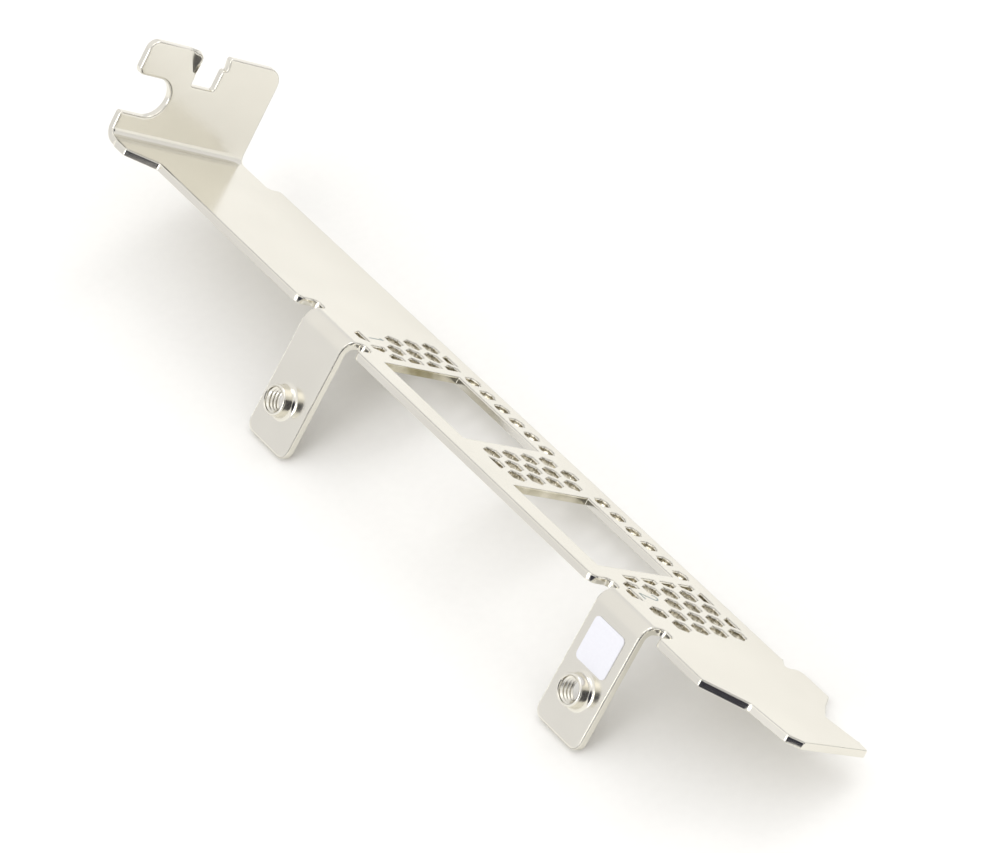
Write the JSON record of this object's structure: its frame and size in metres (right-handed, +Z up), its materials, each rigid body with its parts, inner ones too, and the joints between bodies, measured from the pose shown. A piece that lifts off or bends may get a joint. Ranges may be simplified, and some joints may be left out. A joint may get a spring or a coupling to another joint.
{
  "type": "pci slot cover bracket",
  "caption": "Full-height slot cover bracket with mounting tab, tongue, card tabs with tapped bosses, port openings and hexagonal vents.",
  "frame": {"origin": "On the surface the bracket rests on, at the middle of the area it covers.", "axes": "+X along the face plate from the mounting tab to the tongue, +Z up from the surface it rests on, +Y towards the plate's far edge; the plate slopes down towards +Y by about 38 degrees and rests on its ear and on the tips of the card tabs."},
  "size_m": [0.1202, 0.029, 0.0236],
  "materials": {
    "plated_sheet": "bright nickel plating on cold-rolled steel sheet",
    "label_paper": "white paper label, unprinted"
  },
  "bodies": {
    "root": {"bracket": "plated_sheet", "label": "label_paper"}
  },
  "joints": []
}
